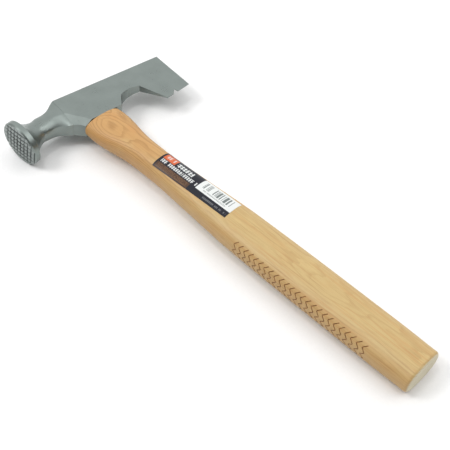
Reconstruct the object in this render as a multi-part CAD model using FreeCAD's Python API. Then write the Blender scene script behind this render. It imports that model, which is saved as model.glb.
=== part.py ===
"""Drywall hammer: a forged hatchet head hung on a hickory handle.

The hammer lies on its side.  +X runs along the handle from the head to the
butt, +Y from the striking face to the cutting edge, +Z up, out of the cheek.
Everything is drawn about the handle's axis, with the top of the head at
x = 0, and moved at the end so that the origin is under the middle of the
whole hammer, on the surface that it lies on.  All sizes are in millimetres.
"""

import FreeCAD, Part
import math
import os

# --- whole hammer ---------------------------------------------------------
overall_length = 354.0        # top of the head to the butt, along the handle
head_lean = 5.0               # degrees that the head leans back over the handle
seam_x = 35.6                 # underside of the head on the axis, where the wood begins
seam_slant = 2.4              # degrees between the seam and a square cut across the handle

# --- blade, in the head's own axes ----------------------------------------
blade_reach = 84.6            # handle axis to the cutting edge
cutting_edge = 44.8           # length of the cutting edge
beard_drop = 48.6             # lowest point of the beard below the top line
beard_corner = 59.4           # distance of that point from the handle axis
throat_corner = (23.5, 49.2)  # where the beard meets the throat curve
throat_deepest = (21.7, 39.8)
throat_end = (24.4, 30.4)     # where the throat curve meets the eye's back
eye_back = 23.0               # back of the eye at the seam
edge_half = 0.5               # upper cheek above the middle plane at the cutting edge
thin_start = 47.5             # where the lower cheek turns in to thin the blade
thin_end = 59.0
thin_blade = 1.1              # thickness of the blade beyond the thinning
edge_thick = 0.5              # thickness at the cutting edge
poll_half = 9.5               # half thickness where the neck begins
poll_y = -19.6                # plane where the cheeks end and the neck begins
nail_slot_drop = 43.1         # bottom of the nail slot, below the top line
nail_slot_reach = 70.6
nail_slot_width = 5.4
nail_slot_lead = 8.0          # how far the slot's mouth runs past the edge
nail_slot_flare = 0.25        # outward lean of the slot's outer side
nail_slot_lip = (0.56, 0.8)   # shares of the lead and width where the inner side turns

# --- eye and neck -----------------------------------------------------------
eye_front = 12.6              # front of the eye ahead of the axis at the seam
belt_top = 17.2               # where the slanted belt begins, down the poll plane
belt_end = -5.9               # where its upper edge meets the seam, from the axis
belt_slope = 0.75             # fall of the belt for each mm outwards
lower_belt_shift = 3.5        # how much further out the lower belt lies
chin_x = 28.4                 # underside of the neck at the poll plane
chin_bow = 0.9                # how far the chin curve sags inwards
neck_radius = 9.3             # slimmest part of the neck
neck_taper = (0.70, 0.96)     # how far the taper has gone one and two thirds of the way
neck_top_taper = (0.95, 1.06) # the same for the neck's upper line, which dips first
neck_root = (0.12, 0.4)       # share of its length and inset of the neck's root in the eye
neck_step = 0.2               # small step all round where the neck leaves the cheeks
neck_rounding = (0.02, 0.02, 0.34, 0.74, 1.0)  # from six-sided to round, root to bell
neck_corners = (-45.0, 15.0, 65.0, 120.0, 155.0, 225.0)  # where the six sides end up, degrees
neck_overlap = 2.2            # how far the neck runs into the bell
neck_inset = 0.15             # neck's end inside the bell's slimmest part

# --- bell and striking face -------------------------------------------------
face_x = 16.3                 # centre of the face below the top line
face_reach = 61.8             # handle axis to the middle of the face
face_tilt = 8.3               # degrees that the face looks towards the handle
bell_radius = 18.8
face_radius = 17.9
bell_depth = 20.8             # face plane to the slimmest part of the neck
rim_width = 4.0               # straight part of the bell's side
rim_chamfer = 1.2
bell_flare = (0.26, 0.55)     # shares of the swell and depth at the flare's middle
face_crown = 0.7              # how far the face swells at its middle
check_depth = 1.0
# two crossing sets of grooves: degrees turned, spacing, first groove as a share of it
check_sets = ((90.0, 4.6, 0.0), (-15.0, 3.8, 0.5))

# --- eye slot, wedges and tongue --------------------------------------------
slot_length = 25.0            # along the blade direction
slot_width = 10.4             # across the cheeks
slot_offset = 1.0             # slot centre from the handle axis
tongue_clearance = 0.08
tongue_recess = 0.3           # end grain below the top of the head
kerf_depth = 24.0
wood_wedge_thick = 2.6
wood_wedge_tip = 0.5
steel_wedge_width = 8.0
steel_wedge_thick = 2.0
steel_wedge_tip = 0.3
steel_wedge_depth = 13.0
steel_wedge_spread = 6.4      # each steel wedge from the slot's centre
steel_wedge_skew = 22.0       # degrees
wedge_head_growth = (1.3, 1.7)  # wood and steel wedge blanks, above the head
wedge_clearance = 0.04

# --- handle -------------------------------------------------------------------
shoulder_gap = 0.7            # shadow gap between the head and the shoulder
# share of the handle's length, half width, half thickness
handle_stations = (
    (-0.03, 16.2, 7.9),
    (0.00, 17.1, 8.5),
    (0.03, 17.5, 9.3),
    (0.06, 16.7, 10.0),
    (0.14, 12.5, 10.8),
    (0.22, 11.8, 11.3),
    (0.35, 14.0, 11.5),
    (0.50, 16.8, 11.8),
    (0.70, 17.6, 11.9),
    (0.90, 17.7, 11.6),
    (1.00, 17.3, 11.4),
)
handle_sections = 25
handle_squareness = 2.5       # 2 is an ellipse, more is squarer
section_points = 24
butt_round = 2.6
butt_sections = 6

# --- label --------------------------------------------------------------------
label_start = 105.6           # from the top of the head
label_length = 75.4
label_width = 18.0
label_corner = -8.3           # its lower edge from the handle axis, at the head end
label_turn = 1.2              # degrees that it was stuck on askew
label_film = 0.15

# --- drawing helps --------------------------------------------------------------
BIG = 400.0                   # longer than anything on the hammer
Vector = FreeCAD.Vector


def head_axes(shape):
    """Leans a shape drawn in the head's axes back over the handle."""
    leaned = shape.copy()
    leaned.rotate(Vector(0, 0, 0), Vector(0, 0, 1), -head_lean)
    return leaned


def seam_in_head(y):
    """X in the head's axes of the seam at a distance y from the axis."""
    slant = math.radians(head_lean - seam_slant)
    return seam_x - y * math.tan(slant)


def prism(points, low, high):
    """Closed outline in XY, raised from low to high."""
    ring = [Vector(x, y, low) for x, y in points]
    wire = Part.makePolygon(ring + ring[:1])
    return Part.Face(wire).extrude(Vector(0, 0, high - low))


def cheek_half(y):
    """Half thickness of the wedge-shaped blade at a distance y from the axis."""
    share = (blade_reach - y) / (blade_reach - poll_y)
    return edge_half + (poll_half - edge_half) * share


def blade_and_eye():
    """Flat-cheeked part of the head, from the poll plane to the cutting edge."""
    eye_heel = Vector(seam_in_head(eye_back), eye_back, 0)
    eye_toe = Vector(seam_in_head(-eye_front), -eye_front, 0)
    chin = Vector(chin_x, poll_y, 0)
    chin_middle = (eye_toe + chin) * 0.5
    across = Vector(chin.y - eye_toe.y, eye_toe.x - chin.x, 0).normalize()
    top_poll = Vector(0, poll_y, 0)
    toe = Vector(0, blade_reach, 0)
    heel = Vector(cutting_edge, blade_reach, 0)
    beard = Vector(beard_drop, beard_corner, 0)
    throat = [Vector(x, y, 0) for x, y in (throat_corner, throat_deepest, throat_end)]
    edges = [
        Part.LineSegment(top_poll, toe),
        Part.LineSegment(toe, heel),
        Part.LineSegment(heel, beard),
        Part.LineSegment(beard, throat[0]),
        Part.Arc(throat[0], throat[1], throat[2]),
        Part.LineSegment(throat[2], eye_heel),
        Part.LineSegment(eye_heel, eye_toe),
        Part.Arc(eye_toe, chin_middle + across * chin_bow, chin),
        Part.LineSegment(chin, top_poll),
    ]
    outline = Part.Face(Part.Wire([edge.toShape() for edge in edges]))
    tall = outline.extrude(Vector(0, 0, 4 * poll_half))
    tall.translate(Vector(0, 0, -2 * poll_half))
    wedge_profile = [
        Vector(-BIG / 4, poll_y, cheek_half(poll_y)),
        Vector(-BIG / 4, blade_reach, edge_half),
        Vector(-BIG / 4, blade_reach, edge_half - edge_thick),
        Vector(-BIG / 4, thin_end, cheek_half(thin_end) - thin_blade),
        Vector(-BIG / 4, thin_start, -cheek_half(thin_start)),
        Vector(-BIG / 4, poll_y, -cheek_half(poll_y)),
    ]
    wedge = Part.Face(Part.makePolygon(wedge_profile + wedge_profile[:1]))
    body = tall.common(wedge.extrude(Vector(BIG, 0, 0)))
    return body.cut([belt_cutter(1, 0.0), belt_cutter(-1, lower_belt_shift)])


def belt_direction():
    """Outward direction of the belt in XY, square to its upper edge."""
    run = Vector(seam_in_head(belt_end) - belt_top, belt_end - poll_y, 0)
    return Vector(run.y, -run.x, 0).normalize()


def belt_cutter(side, shift):
    """Block above the belt's slanted plane, on the upper (1) or lower (-1) side."""
    out = belt_direction()
    ends = []
    for x, y in ((belt_top, poll_y), (seam_in_head(belt_end), belt_end)):
        ends.append(Vector(x, y, side * cheek_half(y)) + out * shift)
    along = ends[1] - ends[0]
    fall = Vector(out.x, out.y, -side * belt_slope)
    square = along.cross(fall).normalize()
    if square.z * side < 0:
        square = square * -1
    middle = (ends[0] + ends[1]) * 0.5
    return Part.makeCylinder(BIG / 8, BIG / 8, middle, square)


def neck_outline():
    """Six corners of the neck at the poll plane, on a scale of -1 to 1 each way."""
    half_deep = chin_x / 2
    out = belt_direction().x
    upper = 1 - belt_slope * out * (chin_x - belt_top) / poll_half
    lower_top = belt_top + lower_belt_shift / out
    lower = belt_slope * out * (chin_x - lower_top) / poll_half - 1
    return (
        (-1, 1),
        (belt_top / half_deep - 1, 1),
        (1, upper),
        (1, lower),
        (lower_top / half_deep - 1, -1),
        (-1, -1),
    )


def neck_section(y, x_top, x_bottom, half, rounding):
    """Section of the neck square to Y, part way from six-sided to round."""
    flat = neck_outline()
    centre, deep = (x_top + x_bottom) / 2, (x_bottom - x_top) / 2
    edges = []
    for index in range(len(flat)):
        after = (index + 1) % len(flat)
        start_turn, end_turn = neck_corners[index], neck_corners[after]
        if end_turn < start_turn:
            end_turn += 360.0
        places = (
            (flat[index], start_turn),
            (((flat[index][0] + flat[after][0]) / 2, (flat[index][1] + flat[after][1]) / 2),
             (start_turn + end_turn) / 2),
            (flat[after], end_turn),
        )
        points = []
        for (across, up), turn in places:
            angle = math.radians(turn)
            p = across + rounding * (math.sin(angle) - across)
            q = up + rounding * (math.cos(angle) - up)
            points.append(Vector(centre + p * deep, y, q * half))
        edges.append(Part.Arc(points[0], points[1], points[2]).toShape())
    return Part.Wire(edges)


def neck():
    """Taper from the eye's front to the slim round neck behind the bell."""
    slim_y = bell_axis_point(bell_depth).y - neck_overlap
    slim_x = bell_axis_point(bell_depth).x
    run = slim_y - poll_y
    end_radius = neck_radius - neck_inset
    root_share, root_inset = neck_root
    sections = []
    mixes = (0.0, 0.0) + neck_taper + (1.0,)
    top_mixes = (0.0, 0.0) + neck_top_taper + (1.0,)
    shares = (-root_share, 0.0, 1 / 3, 2 / 3, 1.0)
    for share, mix, top_mix, rounding in zip(shares, mixes, top_mixes, neck_rounding):
        y = poll_y + run * share
        x_top = top_mix * (slim_x - end_radius)
        x_bottom = chin_x + mix * (slim_x + end_radius - chin_x)
        half = cheek_half(poll_y) + mix * (end_radius - cheek_half(poll_y))
        if share <= 0:
            inset = root_inset if share < 0 else neck_step
            x_top, x_bottom, half = inset, chin_x - inset, half - inset
        sections.append(neck_section(y, x_top, x_bottom, half, rounding))
    return Part.makeLoft(sections, True, False)


def bell_axis_point(behind):
    """Point on the bell's axis, a distance behind the face plane."""
    tilt = math.radians(face_tilt)
    return Vector(face_x - behind * math.sin(tilt), behind * math.cos(tilt) - face_reach, 0)


def on_bell(shape):
    """Moves a shape drawn with its axis on Z and its face at z = 0 to the bell."""
    placed = shape.copy()
    placed.rotate(Vector(0, 0, 0), Vector(1, 0, 0), 90.0)
    placed.rotate(Vector(0, 0, 0), Vector(0, 0, 1), face_tilt)
    placed.translate(bell_axis_point(0.0))
    return placed


def bell():
    """Bell turned about its own axis: crowned face, chamfered rim and flare."""
    back = -bell_depth
    rim_back = -rim_chamfer - rim_width
    swell_share, depth_share = bell_flare
    swell = (bell_radius - neck_radius) * swell_share
    flare_middle = Vector(neck_radius + swell, 0, back * depth_share)
    face_edge = Vector(face_radius, 0, 0)
    crown = Vector(0, 0, face_crown)
    crown_middle = Vector(face_radius / 2, 0, face_crown * 0.75)
    rim_front = Vector(bell_radius, 0, -rim_chamfer)
    rim_rear = Vector(bell_radius, 0, rim_back)
    slim = Vector(neck_radius, 0, back)
    axis_end = Vector(0, 0, back)
    edges = [
        Part.Arc(crown, crown_middle, face_edge),
        Part.LineSegment(face_edge, rim_front),
        Part.LineSegment(rim_front, rim_rear),
        Part.Arc(rim_rear, flare_middle, slim),
        Part.LineSegment(slim, axis_end),
        Part.LineSegment(axis_end, crown),
    ]
    profile = Part.Face(Part.Wire([edge.toShape() for edge in edges]))
    turned = profile.revolve(Vector(0, 0, 0), Vector(0, 0, 1), 360.0)
    return on_bell(turned)


def checkering():
    """Straight V grooves, in two crossing sets, that cut the face into pyramids."""
    clear = face_crown + check_depth
    half_top = check_depth + clear
    groove = [
        Vector(-half_top, -BIG / 8, clear),
        Vector(0, -BIG / 8, -check_depth),
        Vector(half_top, -BIG / 8, clear),
    ]
    profile = Part.Face(Part.makePolygon(groove + groove[:1]))
    single = profile.extrude(Vector(0, BIG / 4, 0))
    cutters = []
    for turn, pitch, first in check_sets:
        rows = int(face_radius / pitch)
        for row in range(-rows, rows + 1):
            offset = (row + first) * pitch
            fall = face_crown * (offset / face_radius) ** 2
            cutter = single.copy()
            cutter.translate(Vector(offset, 0, face_crown - fall))
            cutter.rotate(Vector(0, 0, 0), Vector(0, 0, 1), turn)
            cutters.append(on_bell(cutter))
    return cutters


def nail_slot():
    """Slanting slot in the heel of the blade for pulling nails."""
    lead = nail_slot_lead
    lip_lead, lip_width = nail_slot_lip
    points = [
        (nail_slot_drop, nail_slot_reach),
        (nail_slot_drop + lead, nail_slot_reach + lead * nail_slot_flare),
        (nail_slot_drop + lead, nail_slot_reach - nail_slot_width),
        (nail_slot_drop + lead * lip_lead, nail_slot_reach - nail_slot_width * lip_width),
    ]
    return prism(points, -poll_half, poll_half)


def slot_blank(grow, start_x, end_x):
    """Oblong bar with round ends that runs along the handle, for eye and tongue."""
    straight = (slot_length - slot_width) / 2
    radius = slot_width / 2 + grow
    low = slot_offset - straight
    high = slot_offset + straight
    low_left, low_right = Vector(start_x, low, -radius), Vector(start_x, low, radius)
    high_left, high_right = Vector(start_x, high, -radius), Vector(start_x, high, radius)
    edges = [
        Part.Arc(low_left, Vector(start_x, low - radius, 0), low_right),
        Part.LineSegment(low_right, high_right),
        Part.Arc(high_right, Vector(start_x, high + radius, 0), high_left),
        Part.LineSegment(high_left, low_left),
    ]
    face = Part.Face(Part.Wire([edge.toShape() for edge in edges]))
    return face.extrude(Vector(end_x - start_x, 0, 0))


def make_head():
    """One forging: blade, eye, neck and bell, with the eye slot cut through."""
    body = blade_and_eye().fuse([neck(), bell()])
    body = body.cut(checkering())
    body = head_axes(body.cut(nail_slot()))
    return body.cut(slot_blank(0.0, -BIG / 8, BIG / 8)).removeSplitter()


def station_slope(index, column):
    """Slope of the handle's outline at a station, level at its peaks and hollows."""
    if index in (0, len(handle_stations) - 1):
        return 0.0
    before, here, after = handle_stations[index - 1:index + 2]
    rise_in = (here[column] - before[column]) / (here[0] - before[0])
    rise_out = (after[column] - here[column]) / (after[0] - here[0])
    if rise_in * rise_out <= 0:
        return 0.0
    return 2 * rise_in * rise_out / (rise_in + rise_out)


def handle_half(share, column):
    """Half width (column 1) or half thickness (column 2) at a share of the length."""
    index = 0
    while index < len(handle_stations) - 2 and handle_stations[index + 1][0] < share:
        index += 1
    here, after = handle_stations[index:index + 2]
    span = after[0] - here[0]
    t = (share - here[0]) / span
    start_pull = t * (1 - t) ** 2 * span * station_slope(index, column)
    end_pull = t ** 2 * (t - 1) * span * station_slope(index + 1, column)
    blend = t * t * (3 - 2 * t)
    return here[column] + blend * (after[column] - here[column]) + start_pull + end_pull


def handle_section(x, half_width, half_thick):
    """Closed oval wire across the handle."""
    points = []
    for step in range(section_points):
        angle = 2 * math.pi * step / section_points
        y = superellipse(math.cos(angle)) * half_width
        z = superellipse(math.sin(angle)) * half_thick
        points.append(Vector(x, y, z))
    skin = Part.BSplineCurve()
    skin.interpolate(Points=points, PeriodicFlag=True)
    return Part.Wire([skin.toShape()])


def handle_body(grow):
    """Handle skin from above the seam to the rounded butt, optionally a little larger."""
    first = handle_stations[0][0]
    start = seam_x + first * (overall_length - seam_x)
    run = overall_length - butt_round - start
    sections = []
    for number in range(handle_sections):
        step = number / (handle_sections - 1)
        share = first + (1 - first) * step
        width = handle_half(share, 1) + grow
        sections.append(handle_section(start + run * step, width, handle_half(share, 2) + grow))
    end_width, end_thick = (handle_half(1.0, column) + grow for column in (1, 2))
    cap = []
    for number in range(butt_sections):
        angle = math.pi / 2 * number / (butt_sections - 1)
        inset = butt_round * (1 - math.cos(angle))
        x = overall_length - butt_round * (1 - math.sin(angle))
        cap.append(handle_section(x, end_width - inset, end_thick - inset))
    return Part.makeLoft(sections, True, False).fuse(Part.makeLoft(cap, True, False))


def superellipse(ratio):
    """Squared-off cosine or sine, which turns an ellipse into a fuller oval."""
    return math.copysign(abs(ratio) ** (2 / handle_squareness), ratio)


def wood_wedge_blank(grow):
    """Flat wedge that spreads the tongue, drawn from above the head downwards."""
    half_top = wood_wedge_thick / 2 + grow
    half_tip = wood_wedge_tip / 2 + grow
    half_span = slot_length / 2 - slot_width / 4
    half_head = half_top * wedge_head_growth[0]
    points = [
        Vector(-poll_half, slot_offset - half_span - grow, -half_head),
        Vector(kerf_depth, slot_offset - half_span - grow, -half_tip),
        Vector(kerf_depth, slot_offset - half_span - grow, half_tip),
        Vector(-poll_half, slot_offset - half_span - grow, half_head),
    ]
    face = Part.Face(Part.makePolygon(points + points[:1]))
    return face.extrude(Vector(0, 2 * (half_span + grow), 0))


def steel_wedge_blank(side, grow):
    """Small steel wedge driven across the wood wedge, one to each side."""
    half_top = steel_wedge_thick / 2 + grow
    half_tip = steel_wedge_tip / 2 + grow
    half_span = steel_wedge_width / 2 + grow
    half_head = half_top * wedge_head_growth[1]
    points = [
        Vector(-poll_half, -half_head, -half_span),
        Vector(steel_wedge_depth + grow, -half_tip, -half_span),
        Vector(steel_wedge_depth + grow, half_tip, -half_span),
        Vector(-poll_half, half_head, -half_span),
    ]
    face = Part.Face(Part.makePolygon(points + points[:1]))
    blank = face.extrude(Vector(0, 0, 2 * half_span))
    blank.rotate(Vector(0, 0, 0), Vector(1, 0, 0), side * steel_wedge_skew)
    blank.translate(Vector(0, slot_offset + side * steel_wedge_spread, 0))
    return blank


def above_head(recess):
    """Everything above the top of the head, to trim the tongue and wedges by."""
    block = Part.makeBox(BIG, BIG, BIG, Vector(recess - BIG, -BIG / 2, -BIG / 2))
    return head_axes(block)


def above_seam(gap):
    """Everything on the head's side of the slanted seam, lowered by a gap."""
    block = Part.makeBox(BIG, BIG, BIG, Vector(gap - BIG, -BIG / 2, -BIG / 2))
    block.rotate(Vector(0, 0, 0), Vector(0, 0, 1), -seam_slant)
    block.translate(Vector(seam_x, 0, 0))
    return block


def make_handle():
    """Hickory handle: rounded butt, swelling grip, shoulder and kerfed tongue."""
    skin = handle_body(0.0)
    skin = skin.cut(above_seam(shoulder_gap))
    tongue = slot_blank(-tongue_clearance, -BIG / 8, seam_x + slot_width)
    wood = skin.fuse(tongue).removeSplitter().cut(above_head(tongue_recess))
    wood = wood.cut(wood_wedge_blank(wedge_clearance))
    return wood.cut([steel_wedge_blank(side, wedge_clearance) for side in (-1, 1)])


def make_wood_wedge():
    """Hardwood wedge in the tongue's kerf, trimmed to the slot and the steel wedges."""
    wedge = wood_wedge_blank(0.0).cut(above_head(tongue_recess))
    return wedge.cut([steel_wedge_blank(side, wedge_clearance) for side in (-1, 1)])


def make_steel_wedges():
    """The two steel wedges, as one node of two solids."""
    inside = slot_blank(-tongue_clearance, -BIG / 8, BIG / 8)
    solids = []
    for side in (-1, 1):
        blank = steel_wedge_blank(side, 0.0).cut(above_head(tongue_recess))
        solids.append(blank.common(inside))
    return Part.makeCompound(solids)


def make_label():
    """Thin film wrapped over the upper side of the grip."""
    corner = Vector(label_start, label_corner, 0)
    patch = Part.makeBox(label_length, label_width, BIG, corner)
    patch.rotate(corner, Vector(0, 0, 1), label_turn)
    return handle_body(label_film).common(patch).cut(handle_body(0.0))


def all_nodes():
    """Every node of the hammer, drawn about the handle's axis."""
    return {
        "hammer_head": make_head(),
        "handle": make_handle(),
        "wood_wedge": make_wood_wedge(),
        "steel_wedges": make_steel_wedges(),
        "grip_label": make_label(),
    }


def origin_shift(shapes):
    """Move that puts the origin under the middle of the whole hammer."""
    box = Part.makeCompound(shapes).optimalBoundingBox(False, False)
    return Vector(-(box.XMin + box.XMax) / 2, -(box.YMin + box.YMax) / 2, -box.ZMin)


def main():
    """Writes one STEP file for each node."""
    os.makedirs("parts", exist_ok=True)
    nodes = all_nodes()
    shift = origin_shift(list(nodes.values()))
    for name, shape in nodes.items():
        shape.translate(shift)
        shape.exportStep("parts/" + name + ".step")
        volume = round(shape.Volume, 1)
        print(name, "solids", len(shape.Solids), "volume mm3", volume, "valid", shape.isValid())
    print("shift", shift)


main()
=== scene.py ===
"""Looks of a drywall hammer lying on its side: forged head, hickory handle, wedges and label.

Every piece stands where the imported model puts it, in metres.  +X runs along the
handle from the head to the butt, +Y from the striking face to the cutting edge.
"""

import logging
import math
from dataclasses import dataclass, field
from enum import Enum
from typing import Optional, Sequence, Union

import bpy
from mathutils import Matrix, Vector


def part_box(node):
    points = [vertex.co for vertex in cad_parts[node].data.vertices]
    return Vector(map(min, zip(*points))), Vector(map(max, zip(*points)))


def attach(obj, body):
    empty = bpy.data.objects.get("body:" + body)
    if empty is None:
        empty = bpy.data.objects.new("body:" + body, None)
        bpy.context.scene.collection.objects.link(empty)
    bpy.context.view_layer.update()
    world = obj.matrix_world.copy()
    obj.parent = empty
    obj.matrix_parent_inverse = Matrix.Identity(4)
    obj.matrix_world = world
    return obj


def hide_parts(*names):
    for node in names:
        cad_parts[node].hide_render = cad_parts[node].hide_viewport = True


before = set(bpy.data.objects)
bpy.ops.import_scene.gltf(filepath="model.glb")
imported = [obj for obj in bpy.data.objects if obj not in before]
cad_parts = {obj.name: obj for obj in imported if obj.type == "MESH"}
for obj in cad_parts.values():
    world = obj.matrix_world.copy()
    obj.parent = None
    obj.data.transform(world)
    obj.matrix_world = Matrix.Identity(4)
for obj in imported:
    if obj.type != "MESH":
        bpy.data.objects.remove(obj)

LOG = logging.getLogger("hammer")
MM = 0.001
OVERALL = 354.0 * MM
BODY = "root"

Socket = bpy.types.NodeSocket


class Slot(Enum):
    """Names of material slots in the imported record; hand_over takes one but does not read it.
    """

    HEAD = "head_steel"
    HANDLE = "handle_wood"


class Reading:
    """A number that varies over a surface, with ordinary arithmetic."""

    def __init__(self, bench: "Bench", socket: Socket) -> None:
        """Wraps one output socket of a material's nodes.

        Args:
            bench: The material that the socket belongs to.
            socket: The output to wrap.
        """
        self.bench = bench
        self.socket = socket

    def _with(self, kind: str, *others: Union["Reading", float]) -> "Reading":
        """Adds one Math node that starts from this reading.

        Args:
            kind: The Math node's operation.
            others: Its other operands.

        Returns:
            The result as another reading.
        """
        return self.bench.math(kind, self, *others)

    def __add__(self, other: Union["Reading", float]) -> "Reading":
        """Sum."""
        return self._with("ADD", other)

    __radd__ = __add__

    def __sub__(self, other: Union["Reading", float]) -> "Reading":
        """Difference."""
        return self._with("SUBTRACT", other)

    def __rsub__(self, other: float) -> "Reading":
        """Difference the other way round."""
        return self.bench.math("SUBTRACT", other, self)

    def __mul__(self, other: Union["Reading", float]) -> "Reading":
        """Product."""
        return self._with("MULTIPLY", other)

    def __truediv__(self, other: Union["Reading", float]) -> "Reading":
        """Quotient."""
        return self._with("DIVIDE", other)

    def fraction(self) -> "Reading":
        """Part after the decimal point."""
        return self._with("FRACT")

    def whole(self) -> "Reading":
        """Whole number below."""
        return self._with("FLOOR")

    def rise(self, low: float, high: float) -> "Reading":
        """Smooth step from 0 at low to 1 at high.

        Args:
            low: Reading at which the step starts.
            high: Reading at which it ends; lower than low for a falling step.

        Returns:
            A reading from 0 to 1.
        """
        if low > high:
            return 1.0 - self.rise(high, low)
        node = self.bench.node(
            "ShaderNodeMapRange",
            {"interpolation_type": "SMOOTHSTEP"},
            {"Value": self, "From Min": low, "From Max": high},
        )
        return Reading(self.bench, node.outputs["Result"])


Link = Union[Reading, Socket]
Colour = tuple[float, float, float]


def shaded(colour: Colour, share: float) -> Colour:
    """A darker or lighter copy of a colour.

    Args:
        colour: The colour.
        share: What each part is multiplied by, up to white.

    Returns:
        The new colour.
    """
    return tuple(min(1.0, share * part) for part in colour)


class Bench:
    """One material, with short ways of adding nodes to it."""

    def __init__(self, name: str) -> None:
        """Starts an empty material.

        Args:
            name: The material's name.
        """
        self.material = bpy.data.materials.new(name)
        self.material.use_nodes = True
        self.tree = self.material.node_tree
        self.tree.nodes.clear()

    def node(self, kind: str, settings: dict, values: dict) -> bpy.types.Node:
        """Adds a node of any type.

        Args:
            kind: The node's type.
            settings: Its own settings, made first.
            values: A value or link for each input, by name or number.

        Returns:
            The new node.
        """
        made = self.tree.nodes.new(kind)
        for name, setting in settings.items():
            setattr(made, name, setting)
        for name, value in values.items():
            target = made.inputs[name]
            source = value.socket if isinstance(value, Reading) else value
            if isinstance(source, Socket):
                self.tree.links.new(source, target)
            else:
                target.default_value = source
        return made

    def math(self, kind: str, *operands: Union[Reading, float]) -> Reading:
        """Adds a Math node.

        Args:
            kind: Its operation.
            operands: Its inputs, in order.

        Returns:
            The result.
        """
        made = self.node("ShaderNodeMath", {"operation": kind}, dict(enumerate(operands)))
        return Reading(self, made.outputs[0])

    def place(self, origin: Vector) -> Socket:
        """Object coordinates in millimetres from an origin.

        Args:
            origin: The point that becomes zero, in metres.

        Returns:
            The vector's socket.
        """
        coords = self.node("ShaderNodeTexCoord", {}, {}).outputs["Object"]
        settings = {"operation": "SUBTRACT"}
        moved = self.node("ShaderNodeVectorMath", settings, {0: coords, 1: origin})
        scaled = self.node(
            "ShaderNodeVectorMath",
            {"operation": "SCALE"},
            {0: moved.outputs[0], "Scale": 1 / MM},
        )
        return scaled.outputs[0]

    def stretch(self, vector: Socket, scale: Colour) -> Socket:
        """Multiplies a vector by a scale for each axis.

        Args:
            vector: The vector to stretch.
            scale: One factor for each axis.

        Returns:
            The stretched vector.
        """
        made = self.node("ShaderNodeVectorMath", {"operation": "MULTIPLY"}, {0: vector, 1: scale})
        return made.outputs[0]

    def dot(self, vector: Socket, other: Union[Socket, Vector]) -> Reading:
        """How far one vector reaches along another.

        Args:
            vector: The first vector.
            other: The second vector.

        Returns:
            Their dot product.
        """
        settings = {"operation": "DOT_PRODUCT"}
        made = self.node("ShaderNodeVectorMath", settings, {0: vector, 1: other})
        return Reading(self, made.outputs["Value"])

    def axes(self, vector: Socket) -> tuple[Reading, Reading, Reading]:
        """The three parts of a vector."""
        made = self.node("ShaderNodeSeparateXYZ", {}, {0: vector})
        return tuple(Reading(self, made.outputs[i]) for i in range(3))

    def noise(self, vector: Socket, scale: float, detail: float) -> Reading:
        """Soft noise, about 0.5 on average.

        Args:
            vector: Where it is read.
            scale: Blotches for each unit of the vector.
            detail: How many finer layers it has.

        Returns:
            The noise.
        """
        made = self.node(
            "ShaderNodeTexNoise",
            {"noise_dimensions": "3D"},
            {"Vector": vector, "Scale": scale, "Detail": detail},
        )
        return Reading(self, made.outputs[0])

    def lot(self, number: Reading) -> Reading:
        """A lot drawn for each number, from 0 to 1."""
        made = self.node("ShaderNodeTexWhiteNoise", {"noise_dimensions": "1D"}, {"W": number})
        return Reading(self, made.outputs["Value"])

    def blend(
        self,
        share: Link,
        under: Union[Link, Colour],
        over: Union[Link, Colour],
    ) -> Socket:
        """Mixes two colours.

        Args:
            share: How much of the second colour shows.
            under: The colour at 0.
            over: The colour at 1.

        Returns:
            The mixed colour's socket.
        """
        made = self.node("ShaderNodeMix", {"data_type": "RGBA"}, {0: share})
        for index, colour in ((6, under), (7, over)):
            source = colour.socket if isinstance(colour, Reading) else colour
            if isinstance(source, Socket):
                self.tree.links.new(source, made.inputs[index])
            else:
                made.inputs[index].default_value = (*source, 1.0)
        return made.outputs[2]

    def relief(self, height: Reading, depth: float) -> Socket:
        """Normal of a surface with a small relief.

        Args:
            height: The relief, from 0 to 1.
            depth: Its full depth in metres.

        Returns:
            The normal's socket.
        """
        values = {"Strength": 1.0, "Distance": depth, "Height": height}
        made = self.node("ShaderNodeBump", {}, values)
        return made.outputs[0]

    def finish(self, values: dict) -> bpy.types.Material:
        """Closes the material with one shader.

        Args:
            values: The shader's inputs.

        Returns:
            The finished material.
        """
        shader = self.node("ShaderNodeBsdfPrincipled", {}, values)
        self.node("ShaderNodeOutputMaterial", {}, {"Surface": shader.outputs[0]})
        return self.material


@dataclass(frozen=True)
class Figure:
    """One layer of the wood's figure, drawn out along the handle."""

    along: float
    across: float
    detail: float = 3.0

    def read(self, bench: Bench, place: Socket) -> Reading:
        """Reads the layer.

        Args:
            bench: The material.
            place: Coordinates in millimetres.

        Returns:
            Soft noise, about 0.5 on average.
        """
        scales = (self.along, self.across, self.across)
        return bench.noise(bench.stretch(place, scales), 1.0, self.detail)


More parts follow.
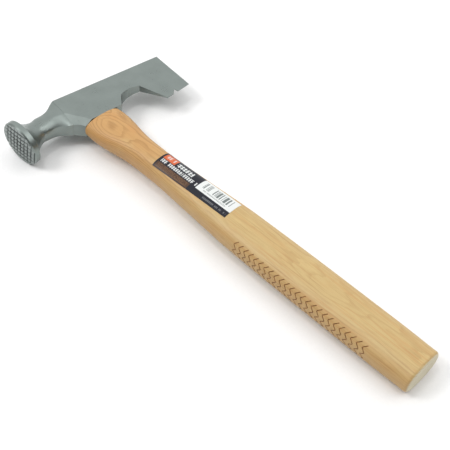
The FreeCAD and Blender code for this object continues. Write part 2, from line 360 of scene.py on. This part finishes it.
@dataclass(frozen=True)
class ForgedSteel:
    """Satin forged steel: tumbled grain, faint clouding and dark specks."""

    name: str
    colour: Colour = (0.262, 0.300, 0.285)
    cloud: Colour = (0.230, 0.264, 0.250)
    roughness: float = 0.31
    grain_depth: float = 0.02 * MM

    def make(self, origin: Vector) -> bpy.types.Material:
        """Builds the finish.

        Args:
            origin: The head's own corner, that the grain is measured from.

        Returns:
            The material.
        """
        bench = Bench(self.name)
        place = bench.place(origin)
        clouds = bench.noise(place, 0.07, 4.0)
        grain = bench.noise(place, 2.4, 3.0)
        rubbed = bench.noise(bench.stretch(place, (2.2, 0.16, 2.2)), 1.0, 3.0)
        specks = bench.noise(place, 1.1, 2.0).rise(0.66, 0.76)
        shade = clouds * 0.65 + grain * 0.35
        base = bench.blend(shade.rise(0.32, 0.68), self.cloud, self.colour)
        base = bench.blend(specks * 0.35, base, shaded(self.cloud, 0.72))
        height = grain * 0.7 + rubbed * 0.3
        return bench.finish(
            {
                "Base Color": base,
                "Metallic": 0.80,
                "Roughness": self.roughness + (clouds - 0.5) * 0.16 + (rubbed - 0.5) * 0.10,
                "Normal": bench.relief(height, self.grain_depth),
            }
        )


@dataclass(frozen=True)
class WornSteel:
    """Steel rubbed bright where edges and the striking face are handled."""

    name: str
    colour: Colour = (0.40, 0.435, 0.42)
    roughness: float = 0.30

    def make(self, origin: Vector) -> bpy.types.Material:
        """Builds the finish.

        Args:
            origin: The head's own corner, that the wear is measured from.

        Returns:
            The material.
        """
        bench = Bench(self.name)
        place = bench.place(origin)
        wear = bench.noise(place, 0.35, 4.0)
        dull = shaded(self.colour, 0.78)
        return bench.finish(
            {
                "Base Color": bench.blend(wear.rise(0.35, 0.65), dull, self.colour),
                "Metallic": 0.85,
                "Roughness": self.roughness + (wear - 0.5) * 0.2,
                "Normal": bench.relief(bench.noise(place, 3.0, 2.0), 0.02 * MM),
            }
        )


@dataclass(frozen=True)
class CheckeredSteel:
    """Striking face: pyramids lighter on top, darker towards the bottom of the grooves."""

    name: str
    top: Colour = (0.27, 0.30, 0.29)
    groove: Colour = (0.045, 0.052, 0.05)
    crown: float = 0.7
    radius: float = 17.9
    depth: float = 1.0

    def make(self, centre: Vector, outward: Vector) -> bpy.types.Material:
        """Builds the finish.

        Args:
            centre: Middle of the face plane, behind the crown.
            outward: Direction that the face looks in.

        Returns:
            The material.
        """
        bench = Bench(self.name)
        place = bench.place(centre)
        ahead = bench.dot(place, outward)
        far = bench.dot(place, place)
        ring = (far - ahead * ahead) / (self.radius * self.radius)
        sunk = (1.0 - ring) * self.crown - ahead
        scale = bench.noise(place, 0.8, 3.0)
        # darker colour towards the bottom of each groove, with a noisy start
        groove_darkening = (sunk + (scale - 0.5) * 0.35).rise(0.22 * self.depth, 0.72 * self.depth)
        rough = 0.34 + groove_darkening * 0.3 + (scale - 0.5) * 0.1
        return bench.finish(
            {
                "Base Color": bench.blend(groove_darkening, self.top, self.groove),
                "Metallic": 0.85,
                "Roughness": rough,
                "Normal": bench.relief(bench.noise(place, 3.0, 2.0), 0.03 * MM),
            }
        )


@dataclass(frozen=True)
class Hickory:
    """Clear varnished hickory, with year rings, fibres and pores, a pale end face that is painted
    light over its end grain, and painted shade mixed into the front edge.
    """

    name: str
    early: Colour = (0.565, 0.41, 0.183)
    late: Colour = (0.37, 0.19, 0.062)
    heart: Colour = (0.53, 0.295, 0.11)
    warm: Colour = (0.555, 0.302, 0.110)
    # pale end-face colour: painted light on the butt, with its end grain mixed in below
    butt: Colour = (0.72, 0.68, 0.52)
    ring_pitch: float = 1.55
    ring_slope: tuple = (0.012, 0.16)
    shoulder: tuple = (51.0, -4.5)
    shoulder_lift: float = 5.6
    shoulder_run: tuple = (19.0, 13.0)
    wander: Figure = Figure(0.012, 0.05, 2.0)
    wander_reach: float = 11.0
    ripple: Figure = Figure(0.05, 0.30, 2.0)
    ripple_reach: float = 1.3
    fibres: Figure = Figure(0.045, 2.2, 4.0)
    streaks: Figure = Figure(0.022, 0.85)
    lines: Figure = Figure(0.017, 0.55)
    bands: Figure = Figure(0.010, 0.22)
    pores: Figure = Figure(0.20, 5.5, 2.0)
    mottle: Figure = Figure(0.05, 0.09)
    warm_span: tuple = (175.0, 75.0)
    # where the front edge darkens: heartwood tone and painted shade together
    heart_and_shade_span: tuple = (-10.0, -16.5)
    heart_and_shade_sway: float = 9.0
    end_face_light_span: tuple = (1.2, 0.2)

    def make(self, origin: Vector, butt_x: float) -> bpy.types.Material:
        """Builds the finish.

        Args:
            origin: Where the handle's axis crosses the top of the head.
            butt_x: Distance from there to the butt, in millimetres.

        Returns:
            The material.
        """
        bench = Bench(self.name)
        place = bench.place(origin)
        x, _, _ = bench.axes(place)
        late, strength = self._rings(bench, place)
        fibres = self.fibres.read(bench, place)
        pores = self.pores.read(bench, place).rise(0.64, 0.74)
        neck = x.rise(*self.warm_span)
        wood = self._ground(bench, place, neck)
        wood = bench.blend(late * strength * (0.30 + neck * 0.65), wood, self.late)
        lines = self.lines.read(bench, place).rise(0.50, 0.64)
        wood = bench.blend(lines * (0.48 - neck * 0.15), wood, self.heart)
        streaks = self.streaks.read(bench, place).rise(0.54, 0.70)
        wood = bench.blend(streaks * 0.38, wood, self.late)
        wood = bench.blend(fibres.rise(0.50, 0.72) * 0.25, wood, self.late)
        wood = bench.blend(pores * 0.32, wood, shaded(self.late, 0.55))
        # the end face is painted pale to stand for light on it, with rings and pores of the end
        # grain mixed in
        end = x.rise(butt_x - self.end_face_light_span[0], butt_x - self.end_face_light_span[1])
        grain = bench.blend(late * 0.35 + pores * 0.3, self.butt, self.heart)
        wood = bench.blend(end * 0.9, wood, grain)
        height = fibres * 0.5 + (1.0 - pores) * 0.5
        return bench.finish(
            {
                "Base Color": wood,
                "Roughness": 0.48 + (fibres - 0.5) * 0.12 + end * 0.2,
                "Normal": bench.relief(height, 0.03 * MM),
                "Specular IOR Level": 0.35,
                "Coat Weight": 0.08,
                "Coat Roughness": 0.30,
            }
        )

    def _rings(self, bench: Bench, place: Socket) -> tuple[Reading, Reading]:
        """Year rings: nearly level, and raised so that they stand in ovals on the shoulder.

        Args:
            bench: The material.
            place: Coordinates in millimetres.

        Returns:
            The dark late wood of each ring, and how strongly that ring shows.
        """
        x, y, z = bench.axes(place)
        along = (x - self.shoulder[0]) / self.shoulder_run[0]
        across = (y - self.shoulder[1]) / self.shoulder_run[1]
        hill = bench.math("POWER", math.e, 0.0 - along * along - across * across)
        height = z + hill * self.shoulder_lift + y * self.ring_slope[1] + x * self.ring_slope[0]
        height = height + self.wander.read(bench, place) * self.wander_reach
        height = height + self.ripple.read(bench, place) * self.ripple_reach
        ring = height / self.ring_pitch
        season = ring.fraction()
        late = season.rise(0.50, 0.90) * season.rise(1.0, 0.95)
        return late, bench.lot(ring.whole()) * 0.6 + 0.4

    def _ground(self, bench: Bench, place: Socket, neck: Reading) -> Socket:
        """Ground colour: paler on the grip, warmer towards the head, and darker along the front
        edge, partly heartwood tone and partly painted shade.

        Args:
            bench: The material.
            place: Coordinates in millimetres.
            neck: 1 beside the head, 0 on the grip.

        Returns:
            The colour.
        """
        _, y, _ = bench.axes(place)
        bands = self.bands.read(bench, place)
        mottle = self.mottle.read(bench, place)
        wood = bench.blend(neck * 0.85 + mottle.rise(0.52, 0.75) * 0.25, self.early, self.warm)
        wood = bench.blend(mottle.rise(0.48, 0.28) * 0.4, wood, shaded(self.early, 1.10))
        # front edge darkened: partly heartwood tone, partly painted shade on that flank
        side = (y + (bands - 0.5) * self.heart_and_shade_sway).rise(*self.heart_and_shade_span)
        return bench.blend(side * 0.45 + bands.rise(0.54, 0.70) * 0.30, wood, self.heart)


@dataclass(frozen=True)
class RolledMark:
    """Wood burnished brown at the bottom of the rolled grip marks."""

    name: str
    colour: Colour = (0.235, 0.108, 0.035)
    press: Figure = Figure(0.4, 0.8)
    fibres: Figure = Figure(0.1, 3.0)

    def make(self, origin: Vector) -> bpy.types.Material:
        """Builds the finish.

        Args:
            origin: Where the handle's axis crosses the top of the head.

        Returns:
            The material.
        """
        bench = Bench(self.name)
        place = bench.place(origin)
        press = self.press.read(bench, place)
        fibres = self.fibres.read(bench, place)
        pale = shaded(self.colour, 1.7)
        return bench.finish(
            {
                "Base Color": bench.blend(press.rise(0.35, 0.75), self.colour, pale),
                "Roughness": 0.50 + (fibres - 0.5) * 0.2,
                "Normal": bench.relief(fibres, 0.03 * MM),
                "Coat Weight": 0.2,
                "Coat Roughness": 0.3,
            }
        )


@dataclass(frozen=True)
class WedgeWood:
    """Raw end grain of a hardwood wedge."""

    name: str
    colour: Colour = (0.42, 0.25, 0.11)
    fibres: Figure = Figure(0.15, 3.5, 4.0)

    def make(self, origin: Vector) -> bpy.types.Material:
        """Builds the finish.

        Args:
            origin: Where the handle's axis crosses the top of the head.

        Returns:
            The material.
        """
        bench = Bench(self.name)
        place = bench.place(origin)
        fibres = self.fibres.read(bench, place)
        dark = shaded(self.colour, 0.5)
        return bench.finish(
            {
                "Base Color": bench.blend(fibres.rise(0.4, 0.68), self.colour, dark),
                "Roughness": 0.62 + (fibres - 0.5) * 0.2,
                "Normal": bench.relief(fibres, 0.06 * MM),
            }
        )


@dataclass(frozen=True)
class PrintedFilm:
    """Glossy label: dark ground, an orange block, a brown band and a white panel.

    Areas are (start, end, low, high) in millimetres, along and across the label.
    """

    name: str
    turn: float = 1.2
    ground: Colour = (0.013, 0.014, 0.022)
    orange: Colour = (0.62, 0.13, 0.045)
    brown: Colour = (0.085, 0.045, 0.026)
    band_line: Colour = (0.30, 0.16, 0.08)
    white: Colour = (0.74, 0.76, 0.75)
    ink: Colour = (0.10, 0.125, 0.12)
    grey: Colour = (0.24, 0.25, 0.26)
    orange_area: tuple = (1.8, 13.6, 9.9, 16.6)
    upper_line: tuple = (15.2, 31.5, 10.6, 14.8)
    lower_line: tuple = (2.6, 39.4, 6.1, 9.3)
    band_area: tuple = (1.4, 35.4, 0.5, 5.2)
    panel_area: tuple = (40.4, 90.0, 5.3, 30.0)
    bars_area: tuple = (44.2, 71.0, 8.9, 16.0)
    bars_line: tuple = (46.5, 69.0, 6.7, 8.0)
    foot_line: tuple = (50.5, 74.0, 1.7, 3.2)
    small_print: tuple = (3.0, 33.5, 1.2, 4.6)
    orange_line: tuple = (3.6, 12.0, 11.6, 15.0)
    row_pitch: float = 0.95
    row_stride: float = 37.0
    letter_density: float = 1.6
    bar_density: float = 2.2
    first_bar: float = 8.0
    soft: float = 0.07

    def area(self, u: Reading, v: Reading, box: Sequence[float]) -> Reading:
        """1 inside an oblong with its edges slightly soft.

        Args:
            u: Distance along the label.
            v: Distance across it.
            box: The oblong.

        Returns:
            The mask.
        """
        soft = self.soft
        along = u.rise(box[0] - soft, box[0] + soft) * u.rise(box[1] + soft, box[1] - soft)
        across = v.rise(box[2] - soft, box[2] + soft) * v.rise(box[3] + soft, box[3] - soft)
        return along * across

    def strokes(
        self,
        bench: Bench,
        u: Reading,
        v: Reading,
        box: Sequence[float],
        pitch: float,
    ) -> Reading:
        """A line of plain upright and level dashes that stands for words.

        Args:
            bench: The material.
            u: Distance along the label.
            v: Distance across it.
            box: The line's area.
            pitch: Width of one dash and its gap.

        Returns:
            The mask.
        """
        cell = (u / pitch).whole()
        lot = bench.lot(cell)
        within = (u / pitch).fraction()
        upright = within.rise(0.10, 0.20) * within.rise(0.62, 0.52)
        height = box[3] - box[2]
        level = ((v - box[2]) / height * 2.0 + lot * 3.0).fraction()
        bar = level.rise(0.05, 0.15) * level.rise(0.5, 0.4)
        word_gap = lot.rise(0.10, 0.12)
        shape = bench.math("MAXIMUM", upright, bar * 0.85)
        return self.area(u, v, box) * shape * word_gap

    def _small_print(self, bench: Bench, u: Reading, v: Reading) -> Reading:
        """Rows of thin broken lines on the brown band.

        Args:
            bench: The material.
            u: Distance along the label.
            v: Distance across it.

        Returns:
            The mask.
        """
        row = v * (1 / self.row_pitch)
        within = row.fraction()
        thin = within.rise(0.25, 0.4) * within.rise(0.8, 0.65) * self.area(u, v, self.small_print)
        cell = (u * self.letter_density).whole() + row.whole() * self.row_stride
        return thin * bench.lot(cell).rise(0.25, 0.3)

    def make(self, corner: Vector) -> bpy.types.Material:
        """Builds the finish.

        Args:
            corner: The label's corner nearest to the head and the striking face.

        Returns:
            The material.
        """
        bench = Bench(self.name)
        x, y, _ = bench.axes(bench.place(corner))
        turn = math.radians(self.turn)
        u = x * math.cos(turn) + y * math.sin(turn)
        v = y * math.cos(turn) - x * math.sin(turn)
        colour = bench.blend(self.area(u, v, self.band_area), self.ground, self.brown)
        colour = bench.blend(self._small_print(bench, u, v) * 0.55, colour, self.band_line)
        colour = bench.blend(self.area(u, v, self.orange_area), colour, self.orange)
        inner = self.strokes(bench, u, v, self.orange_line, 2.1)
        colour = bench.blend(inner * 0.75, colour, self.white)
        for box, pitch in ((self.upper_line, 2.7), (self.lower_line, 2.0)):
            colour = bench.blend(self.strokes(bench, u, v, box, pitch) * 0.95, colour, self.white)
        colour = bench.blend(self.area(u, v, self.panel_area), colour, self.white)
        bars = bench.lot((u * self.bar_density).whole() + self.first_bar).rise(0.42, 0.46)
        colour = bench.blend(bars * self.area(u, v, self.bars_area) * 0.9, colour, self.ink)
        under_bars = self.strokes(bench, u, v, self.bars_line, 1.3)
        colour = bench.blend(under_bars * 0.6, colour, self.ink)
        foot = self.strokes(bench, u, v, self.foot_line, 1.1)
        colour = bench.blend(foot * 0.7, colour, self.grey)
        scuffs = bench.noise(bench.place(corner), 0.5, 4.0)
        return bench.finish(
            {
                "Base Color": colour,
                "Roughness": 0.38 + (scuffs - 0.5) * 0.12,
                "Normal": bench.relief(scuffs, 0.05 * MM),
                "Specular IOR Level": 0.25,
                "Coat Weight": 0.06,
                "Coat Roughness": 0.15,
            }
        )


@dataclass(frozen=True)
class StudioPaper:
    """Pale paper that the hammer lies on."""

    name: str
    colour: Colour = (0.90, 0.90, 0.90)

    def make(self) -> bpy.types.Material:
        """Builds the finish.

        Returns:
            The material.
        """
        bench = Bench(self.name)
        tooth = bench.noise(bench.place(Vector()), 0.6, 3.0)
        colour = bench.blend(tooth.rise(0.3, 0.7), self.colour, shaded(self.colour, 1.02))
        return bench.finish({"Base Color": colour, "Roughness": 0.9})


class Workbench:
    """Edit-mode work that the pieces share."""

    @staticmethod
    def clear_selection() -> None:
        """Nothing selected, in object mode."""
        if bpy.context.object and bpy.context.object.mode != "OBJECT":
            bpy.ops.object.mode_set(mode="OBJECT")
        bpy.ops.object.select_all(action="DESELECT")

    @staticmethod
    def take(piece: bpy.types.Object) -> None:
        """Makes one piece the only selected and active one."""
        Workbench.clear_selection()
        piece.select_set(True)
        bpy.context.view_layer.objects.active = piece

    @staticmethod
    def copy_of_node(node: str, name: str) -> bpy.types.Object:
        """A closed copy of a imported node's mesh, ready to be worked on.

        Args:
            node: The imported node.
            name: The new piece's name.

        Returns:
            The copy.
        """
        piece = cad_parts[node].copy()
        piece.data = piece.data.copy()
        for key in list(piece.keys()):
            del piece[key]
        piece.parent = None
        piece.name = piece.data.name = name
        bpy.context.scene.collection.objects.link(piece)
        Workbench.take(piece)
        bpy.ops.mesh.customdata_custom_splitnormals_clear()
        bpy.ops.object.mode_set(mode="EDIT")
        bpy.ops.mesh.select_all(action="SELECT")
        bpy.ops.mesh.remove_doubles(threshold=0.001 * MM)
        bpy.ops.object.mode_set(mode="OBJECT")
        return piece

    @staticmethod
    def apply_modifiers(piece: bpy.types.Object) -> None:
        """Applies every modifier in order."""
        Workbench.take(piece)
        for modifier in list(piece.modifiers):
            bpy.ops.object.modifier_apply(modifier=modifier.name)

    @staticmethod
    def smooth(piece: bpy.types.Object, degrees: float) -> None:
        """Shades smooth across shallow edges, and keeps large flats flat.

        Args:
            piece: The piece.
            degrees: Steepest edge that is still shaded smooth.
        """
        Workbench.take(piece)
        bpy.ops.object.shade_smooth_by_angle(angle=math.radians(degrees))
        flats = piece.modifiers.new("flat faces", "WEIGHTED_NORMAL")
        flats.weight = 100
        flats.keep_sharp = True
        Workbench.apply_modifiers(piece)

    @staticmethod
    def hand_over(piece: bpy.types.Object, slot: Slot, *nodes: str) -> None:
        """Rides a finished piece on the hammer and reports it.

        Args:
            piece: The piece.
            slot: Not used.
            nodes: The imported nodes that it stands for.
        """
        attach(piece, BODY)
        if nodes:
            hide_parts(*nodes)
        LOG.info("%s: %d faces", piece.name, len(piece.data.polygons))


def handle_axis() -> Vector:
    """Where the handle's axis crosses the top of the head, in metres.

    Returns:
        The point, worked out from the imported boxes.
    """
    low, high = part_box("handle")
    head_low, head_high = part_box("hammer_head")
    return Vector((high.x - OVERALL, (low.y + high.y) / 2, (head_low.z + head_high.z) / 2))


@dataclass
class ForgedHead:
    """The forging: bearded blade, eye, neck, bell and checkered face."""

    edge_break: float = 0.30 * MM
    crisp_degrees: float = 24.0
    face_depth: float = 6.0 * MM
    face_centre: tuple = (10.85, -62.99)
    face_turn: float = 3.3
    flat_degrees: float = 0.6
    sharp_degrees: float = 32.0
    checker_depth: float = 1.02 * MM
    checker_radius: float = 17.7 * MM
    piece: Optional[bpy.types.Object] = None

    def build(self) -> None:
        """Copies the forging and breaks its sharp edges."""
        self.piece = Workbench.copy_of_node("hammer_head", "forged_head")
        bpy.ops.object.mode_set(mode="EDIT")
        bpy.ops.mesh.select_all(action="SELECT")
        bpy.ops.mesh.dissolve_limited(angle_limit=math.radians(self.flat_degrees))
        bpy.ops.object.mode_set(mode="OBJECT")
        self._mark_edges()
        bevel = self.piece.modifiers.new("broken edges", "BEVEL")
        bevel.limit_method = "WEIGHT"
        bevel.width = self.edge_break
        bevel.segments = 2
        bevel.material = 1
        bevel.use_clamp_overlap = True
        self.piece.data.materials.clear()
        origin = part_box("hammer_head")[0]
        self.piece.data.materials.append(ForgedSteel("satin forged steel").make(origin))
        self.piece.data.materials.append(WornSteel("rubbed steel edge").make(origin))
        self._finish_face()
        Workbench.apply_modifiers(self.piece)
        Workbench.smooth(self.piece, self.crisp_degrees)

    def _mark_edges(self) -> None:
        """Gives a bevel weight to each sharp edge behind the striking face."""
        mesh = self.piece.data
        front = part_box("hammer_head")[0].y + self.face_depth
        sharp_angle = math.radians(self.sharp_degrees)
        weights = mesh.attributes.new("bevel_weight_edge", "FLOAT", "EDGE")
        faces_of: dict = {}
        for face in mesh.polygons:
            for key in face.edge_keys:
                faces_of.setdefault(key, []).append(face.normal)
        for edge in mesh.edges:
            normals = faces_of.get(edge.key, [])
            ends = [mesh.vertices[i].co for i in edge.vertices]
            sharp = len(normals) == 2 and normals[0].angle(normals[1], 0.0) > sharp_angle
            if sharp and min(end.y for end in ends) > front:
                weights.data[edge.index].value = 1.0

    def _finish_face(self) -> None:
        """Gives the checkered faces inside the rim their own finish."""
        turn = math.radians(self.face_turn)
        outward = Vector((math.sin(turn), -math.cos(turn), 0.0))
        centre = handle_axis() + Vector((*self.face_centre, 0.0)) * MM
        finish = CheckeredSteel("checkered striking face").make(centre, outward)
        self.piece.data.materials.append(finish)
        for face in self.piece.data.polygons:
            reach = face.center - centre
            ahead = reach.dot(outward)
            aside = (reach - outward * ahead).length
            if ahead > -self.checker_depth and aside < self.checker_radius:
                face.material_index = 2

    def dress(self) -> None:
        """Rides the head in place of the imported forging."""
        Workbench.hand_over(self.piece, Slot.HEAD, "hammer_head")


@dataclass
class HickoryHandle:
    """The handle, with a zigzag of rolled marks along its front edge.

    The heights of the zigzag's corners and the lift of its bars are in millimetres.
    """

    marks: int = 25
    first_mark: float = 200.8 * MM
    mark_pitch: float = 4.86 * MM
    mark_sway: float = 1.55 * MM
    heights: tuple = (8.4, 6.0, 3.0, 0.1, -2.9, -5.9, -8.3)
    bar_width: float = 0.80 * MM
    bar_depth: float = 0.42 * MM
    bar_gap: float = 0.25 * MM
    bar_lift: float = 0.06
    reach: float = 60 * MM
    crisp_degrees: float = 28.0
    piece: Optional[bpy.types.Object] = None
    origin: Vector = field(default_factory=handle_axis)

    def build(self) -> None:
        """Copies the handle and rolls the marks into it."""
        self.piece = Workbench.copy_of_node("handle", "hickory_handle")
        butt_x = (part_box("handle")[1].x - self.origin.x) / MM
        wood = Hickory("varnished hickory").make(self.origin, butt_x)
        self.piece.data.materials.clear()
        self.piece.data.materials.append(wood)
        roller = self._roller()
        cut = self.piece.modifiers.new("rolled marks", "BOOLEAN")
        cut.operation = "DIFFERENCE"
        cut.solver = "EXACT"
        cut.use_self = True
        cut.material_mode = "TRANSFER"
        cut.object = roller
        Workbench.apply_modifiers(self.piece)
        bpy.data.objects.remove(roller)
        Workbench.smooth(self.piece, self.crisp_degrees)

    def _surface(self, x: float, z: float) -> tuple[Vector, Vector]:
        """Point and normal of the front edge of the handle.

        Args:
            x: Distance from the top of the head, in metres.
            z: Height over the handle's middle, in metres.

        Returns:
            The point and the outward normal.
        """
        start = self.origin + Vector((x, -self.reach, z))
        _, point, normal, _ = self.piece.ray_cast(start, Vector((0, 1, 0)))
        return point, normal

    def _bar(self) -> bpy.types.Object:
        """Makes one bar of the roller: a square bar turned onto its edge.

        Returns:
            The bar, one metre long and at the origin.
        """
        Workbench.clear_selection()
        bpy.ops.mesh.primitive_cube_add(size=1.0)
        bar = bpy.context.object
        bpy.ops.object.mode_set(mode="EDIT")
        bpy.ops.mesh.select_all(action="SELECT")
        middle = (0, 0, 0)
        side = math.sqrt(0.5)
        bpy.ops.transform.rotate(value=math.radians(45), orient_axis="X", center_override=middle)
        bpy.ops.transform.resize(value=(1.0, side, side), center_override=middle)
        bpy.ops.object.mode_set(mode="OBJECT")
        bar.data.materials.append(RolledMark("rolled grip mark").make(self.origin))
        return bar

    def _roller(self) -> bpy.types.Object:
        """Lays all the bars of the roller and joins them into one cutter.

        Returns:
            The cutter.
        """
        pattern = self._bar()
        bars = []
        for mark in range(self.marks):
            x = self.first_mark + mark * self.mark_pitch
            corners = []
            for index, height in enumerate(self.heights):
                sway = self.mark_sway * (1 if index % 2 == 0 else -1)
                corners.append(self._surface(x + sway, height * MM))
            for (start, up), (end, up_end) in zip(corners, corners[1:]):
                bars.append(self._lay(pattern, start, end, (up + up_end).normalized()))
        bpy.data.objects.remove(pattern)
        Workbench.clear_selection()
        for bar in bars:
            bar.select_set(True)
        bpy.context.view_layer.objects.active = bars[0]
        bpy.ops.object.transform_apply(location=True, rotation=True, scale=True)
        bpy.ops.object.join()
        roller = bpy.context.object
        roller.name = "mark_roller"
        return roller

    def _lay(
        self,
        pattern: bpy.types.Object,
        start: Vector,
        end: Vector,
        up: Vector,
    ) -> bpy.types.Object:
        """Copies the bar from one corner of the zigzag to the next.

        Args:
            pattern: The bar.
            start: One corner.
            end: The next corner.
            up: The outward direction between them.

        Returns:
            The placed copy.
        """
        along = (end - start).normalized()
        across = up.cross(along).normalized()
        out = along.cross(across)
        length = (end - start).length - self.bar_gap
        turn = Matrix((along, across, out)).transposed().to_4x4()
        size = Matrix.Diagonal((length, self.bar_width, 2 * self.bar_depth, 1.0))
        bar = pattern.copy()
        bar.data = pattern.data.copy()
        bpy.context.scene.collection.objects.link(bar)
        middle = (start + end) / 2 + out * self.bar_lift * MM
        bar.matrix_world = Matrix.Translation(middle) @ turn @ size
        return bar

    def dress(self) -> None:
        """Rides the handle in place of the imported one."""
        Workbench.hand_over(self.piece, Slot.HANDLE, "handle")


@dataclass
class EyeWedges:
    """The wood wedge and the two steel wedges in the top of the eye."""

    origin: Vector

    def dress(self) -> None:
        """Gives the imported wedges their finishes."""
        pieces = {
            "wood_wedge": WedgeWood("raw wedge wood").make(self.origin),
            "steel_wedges": WornSteel("wedge steel", (0.36, 0.36, 0.35), 0.42).make(self.origin),
        }
        for node, material in pieces.items():
            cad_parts[node].material_slots[0].material = material
            LOG.info("%s: finished", node)


@dataclass
class GripLabel:
    """The printed film on the upper side of the handle."""

    origin: Vector
    start: float = 105.6 * MM
    lower_edge: float = -8.3 * MM

    def dress(self) -> None:
        """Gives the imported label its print."""
        corner = self.origin + Vector((self.start, self.lower_edge, 0))
        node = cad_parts["grip_label"]
        node.material_slots[0].material = PrintedFilm("printed film").make(corner)
        LOG.info("grip_label: finished")


@dataclass(frozen=True)
class Lamp:
    """A round soft light."""

    name: str
    place: tuple
    size: float
    power: float
    aim: tuple = (-0.1, 0.0, 0.0)

    def hang(self) -> None:
        """Hangs the lamp in its place and turns it to what it lights."""
        lamp = bpy.data.lights.new(self.name, "AREA")
        lamp.shape = "DISK"
        lamp.size = self.size
        lamp.energy = self.power
        lamp_object = bpy.data.objects.new(self.name, lamp)
        bpy.context.scene.collection.objects.link(lamp_object)
        direction = Vector(self.aim) - Vector(self.place)
        lamp_object.location = self.place
        lamp_object.rotation_euler = direction.to_track_quat("-Z", "Y").to_euler()


@dataclass
class Studio:
    """Pale sheet, soft lights and the camera."""

    lens: float = 67.49
    azimuth: float = 43.7525
    elevation: float = 51.2411
    roll: float = 1.563
    eye: tuple = (444.638, -281.422, 477.133)
    paper_size: float = 6.0
    bell_distance: float = 18.0 * MM
    butt_distance: float = 341.0 * MM
    butt_rest: float = 7.3 * MM
    slack: float = 0.1 * MM
    bright_side: tuple = (-0.35, 0.40, 0.85)
    glow_span: tuple = (0.05, 0.72)
    horizon: float = 0.12
    zenith: float = 1.0
    lamps: tuple = (
        Lamp("key", (-0.72, -0.75, 1.30), 0.6, 8.6),
        Lamp("belt", (-0.12, -0.82, 1.40), 0.6, 0.55),
        Lamp("overhead", (0.9, 0.7, 1.5), 1.4, 6.0, (0.0, 0.0, 0.0)),
        Lamp("ridge", (-0.15, -0.15, 1.40), 0.2, 2.2, (-0.15, -0.05, 0.0)),
    )

    def lay_paper(self) -> None:
        """Lays the sheet under the bell and the butt, which both rest on it."""
        Workbench.clear_selection()
        bpy.ops.mesh.primitive_plane_add(size=self.paper_size)
        paper = bpy.context.object
        paper.name = "studio_paper"
        rise = math.atan2(self.butt_rest, self.butt_distance)
        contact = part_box("hammer_head")[0].x + self.bell_distance
        paper.data.transform(Matrix.Translation((-contact, 0, 0)))
        paper.data.transform(Matrix.Rotation(-rise, 4, "Y"))
        paper.data.transform(Matrix.Translation((contact, 0, -self.slack)))
        paper.data.materials.append(StudioPaper("studio paper").make())
        LOG.info("studio_paper: laid")

    def light(self) -> None:
        """Hangs the lamps and sets the surroundings, which are brighter on one side."""
        for lamp in self.lamps:
            lamp.hang()
        world = bpy.data.worlds.new("surroundings")
        world.use_nodes = True
        nodes, links = world.node_tree.nodes, world.node_tree.links
        direction = nodes.new("ShaderNodeTexCoord").outputs["Generated"]
        facing = nodes.new("ShaderNodeVectorMath")
        facing.operation = "DOT_PRODUCT"
        facing.inputs[1].default_value = self.bright_side
        glow = nodes.new("ShaderNodeMapRange")
        glow.interpolation_type = "SMOOTHSTEP"
        levels = {
            "From Min": self.glow_span[0],
            "From Max": self.glow_span[1],
            "To Min": self.horizon,
            "To Max": self.zenith,
        }
        for name, level in levels.items():
            glow.inputs[name].default_value = level
        links.new(direction, facing.inputs[0])
        links.new(facing.outputs["Value"], glow.inputs["Value"])
        links.new(glow.outputs["Result"], nodes["Background"].inputs["Strength"])
        nodes["Background"].inputs["Color"].default_value = (1.0, 1.0, 1.0, 1.0)
        bpy.context.scene.world = world

    def set_camera(self, origin: Vector) -> None:
        """Sets the camera by its heading, height and lens.

        Args:
            origin: Where the handle's axis crosses the top of the head.
        """
        a, e, roll = (math.radians(v) for v in (self.azimuth, self.elevation, self.roll))
        back = Vector((math.sin(a) * math.cos(e), -math.cos(a) * math.cos(e), math.sin(e)))
        right = Vector((math.cos(a), math.sin(a), 0))
        up = back.cross(right)
        side = math.cos(roll) * right + math.sin(roll) * up
        top = math.cos(roll) * up - math.sin(roll) * right
        camera = bpy.data.cameras.new("camera")
        camera.lens = self.lens
        camera.sensor_width = 36.0
        camera.clip_start = 0.01
        camera_object = bpy.data.objects.new("camera", camera)
        bpy.context.scene.collection.objects.link(camera_object)
        place = origin + Vector(self.eye) * MM
        turn = Matrix((side, top, back)).transposed().to_4x4()
        camera_object.matrix_world = Matrix.Translation(place) @ turn
        bpy.context.scene.camera = camera_object


def main() -> None:
    """Builds the hammer in order, then the studio around it."""
    logging.basicConfig(level=logging.INFO, format="%(name)s %(message)s")
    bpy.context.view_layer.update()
    head = ForgedHead()
    head.build()
    head.dress()
    handle = HickoryHandle()
    handle.build()
    handle.dress()
    EyeWedges(handle.origin).dress()
    GripLabel(handle.origin).dress()
    studio = Studio()
    studio.lay_paper()
    studio.light()
    studio.set_camera(handle.origin)
    bpy.context.scene.view_settings.view_transform = "Standard"


if __name__ == "__main__":
    main()
